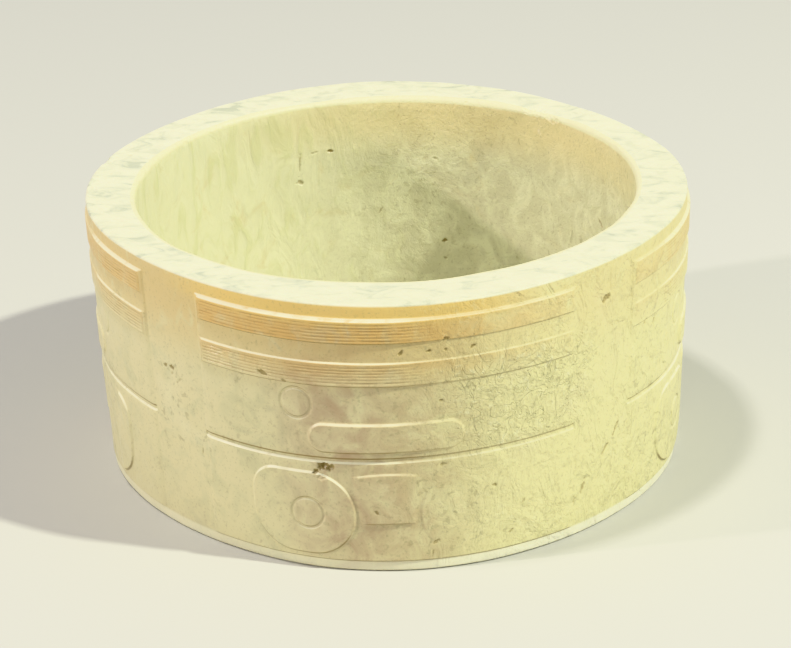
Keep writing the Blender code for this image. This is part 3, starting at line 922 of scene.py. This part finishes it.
for name, strength, parts in rows:
    mask = strength
    for part in parts:
        if isinstance(part, tuple):
            field, low, high = part
            unit = MM if field in IN_MILLIMETRES else 1
            factor = add(tree, "ShaderNodeMapRange", {
                "Value": fields[field], "From Min": low * unit, "From Max": high * unit,
            }, interpolation_type="SMOOTHSTEP")
        else:
            factor = fields[part]
        mask = add(tree, "ShaderNodeMath", {0: mask, 1: factor}, operation="MULTIPLY")
    if name.startswith("#"):
        layered = add(tree, "ShaderNodeMix", {0: mask, 6: colour, 7: linear(name)}, data_type="RGBA")
        colour = layered.outputs[2]
    elif name in fields:
        fields[name] = add(tree, "ShaderNodeMath", {0: fields[name], 1: mask}, operation="MAXIMUM")
    else:
        fields[name] = mask
tree.links.new(colour, shader.inputs["Base Color"])
gloss = add(tree, "ShaderNodeMapRange", {
    "Value": fields["etching"], "From Min": 0.3, "From Max": 0.7, "To Min": 0.3, "To Max": 0.6,
})
tree.links.new(gloss.outputs[0], shader.inputs["Roughness"])
shader.inputs["IOR"].default_value = 1.61
shader.inputs["Subsurface Weight"].default_value = 0.06
shader.inputs["Subsurface Radius"].default_value = (1.0, 0.8, 0.45)
shader.inputs["Subsurface Scale"].default_value = 0.8 * MM

# Relief too fine for the mesh, with its rise in millimetres and where it lies
surface = None
for field, rise, where in (
    ("grain", 0.006, "everywhere"),
    ("etching", 0.28, "etched"),
    ("mottles", 0.3, "rough_bore"),
    ("mottles", 0.35, "outer_right"),
    ("veins", 0.8, "outer_right"),
    ("crinkled", -0.07, "etched"),
    ("wrinkles", 0.5, "smooth_bore"),
    ("streaks", 0.2, "on_lip"),
):
    links = {"Height": fields[field], "Strength": fields[where], "Distance": rise * MM}
    if surface:
        links["Normal"] = surface
    surface = add(tree, "ShaderNodeBump", links)
tree.links.new(surface.outputs[0], shader.inputs["Normal"])

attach(carved_cong, "root")
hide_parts("cong")

# The floor
# Plain pale card, swept flat far past the picture.
floor_mesh = bpy.data.meshes.new("studio_floor")
floor_mesh.from_pydata([(-3, -3, 0), (3, -3, 0), (3, 3, 0), (-3, 3, 0)], [], [(0, 1, 2, 3)])
studio_floor = bpy.data.objects.new("studio_floor", floor_mesh)
bpy.context.scene.collection.objects.link(studio_floor)
card = bpy.data.materials.new("pale_matt_card")
card.use_nodes = True
card.node_tree.nodes["Principled BSDF"].inputs["Base Color"].default_value = linear("#c8c8c5")
card.node_tree.nodes["Principled BSDF"].inputs["Roughness"].default_value = 0.9
floor_mesh.materials.append(card)

# The lights
# Three small lamps: a low one on the left, the strongest at half height on the right, and one
# nearly overhead that picks out every ledge, with a pale room to fill in.

# Angles are in degrees, the first from the front towards the right
LAMP_DISTANCE = 1.2
for name, turn, elevation, size, power, tint in (
    ("left_lamp", -75, 23.5, 0.04, 6.0, "#fff4ea"),
    ("right_lamp", 66.6, 48.7, 0.04, 12.6, "#fcfde6"),
    ("top_lamp", -60, 76, 0.1, 5.8, "#fffaf0"),
):
    turn, elevation = radians(turn), radians(elevation)
    lamp = bpy.data.objects.new(name, bpy.data.lights.new(name, "AREA"))
    lamp.data.size = size
    lamp.data.energy = power
    lamp.data.color = linear(tint)[:3]
    towards = Vector((sin(turn) * cos(elevation), -cos(turn) * cos(elevation), sin(elevation)))
    lamp.location = towards * LAMP_DISTANCE + Vector((0, 0, 0.02))
    lamp.rotation_euler = towards.to_track_quat("Z", "Y").to_euler()
    bpy.context.scene.collection.objects.link(lamp)
world = bpy.data.worlds.new("studio")
bpy.context.scene.world = world
world.use_nodes = True
world.node_tree.nodes["Background"].inputs["Color"].default_value = linear("#f2f4f5")
world.node_tree.nodes["Background"].inputs["Strength"].default_value = 0.35
bpy.context.scene.view_settings.view_transform = "Khronos PBR Neutral"

# The camera
# A long lens from a little above, as in the photograph.
CAMERA_TURN = radians(1.4)
CAMERA_HEIGHT = radians(23.67)
CAMERA_ROLL = radians(-1.84)
CAMERA_DISTANCE = 0.5549
aim = Vector((0.00084, 0, 0.0206))
level_reach = CAMERA_DISTANCE * cos(CAMERA_HEIGHT)
camera = bpy.data.objects.new("camera", bpy.data.cameras.new("camera"))
camera.data.lens = 155.0
camera.data.sensor_width = 36.0
camera.location = aim + Vector((
    level_reach * sin(CAMERA_TURN), -level_reach * cos(CAMERA_TURN), CAMERA_DISTANCE * sin(CAMERA_HEIGHT)
))
sight = (aim - camera.location).to_track_quat("-Z", "Y").to_matrix()
camera.rotation_euler = (sight @ Matrix.Rotation(CAMERA_ROLL, 3, "Z")).to_euler()
bpy.context.scene.collection.objects.link(camera)
bpy.context.scene.camera = camera
